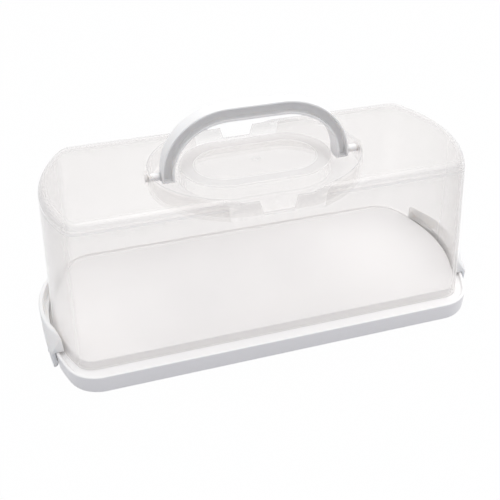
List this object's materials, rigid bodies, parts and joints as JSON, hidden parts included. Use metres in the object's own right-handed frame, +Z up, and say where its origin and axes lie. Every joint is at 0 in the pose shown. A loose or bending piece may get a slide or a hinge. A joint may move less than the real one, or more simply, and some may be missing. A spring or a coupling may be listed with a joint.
{
  "type": "cake carrier",
  "caption": "Long rectangular cake carrier: white tray, frosted lift-off cover, cup-shaped end latches and a bail handle that folds down into an oval moat in the cover's top.",
  "frame": {"origin": "middle of the tray's foot, on the surface that the carrier stands on", "axes": "+X along the carrier, towards the right-hand latch; -Y is the front; +Z is up"},
  "size_m": [0.365, 0.16, 0.1774],
  "materials": {
    "white_plastic": "satin white polypropylene",
    "latch_plastic": "satin white polypropylene",
    "frosted_plastic": "translucent frosted polypropylene"
  },
  "bodies": {
    "base": {"base": "white_plastic"},
    "cover": {"cover": "frosted_plastic"},
    "handle": {"handle": "white_plastic"},
    "latch_left": {"latch_left": "latch_plastic"},
    "latch_right": {"latch_right": "latch_plastic"}
  },
  "joints": [
    {"name": "cover_lift", "type": "slide", "parent": "base", "child": "cover", "axis": [0, 0, 1], "range_m": [0, 0.15]},
    {"name": "handle_fold", "type": "hinge", "parent": "cover", "child": "handle", "pos_m": [0, 0, 0.1285], "axis": [1, 0, 0], "range_deg": [-86, 94]},
    {"name": "latch_right_open", "type": "hinge", "parent": "base", "child": "latch_right", "pos_m": [0.1775, 0, 0.0055], "axis": [0, 1, 0], "range_deg": [0, 85]},
    {"name": "latch_left_open", "type": "hinge", "parent": "base", "child": "latch_left", "pos_m": [-0.1775, 0, 0.0055], "axis": [0, -1, 0], "range_deg": [0, 85]}
  ]
}
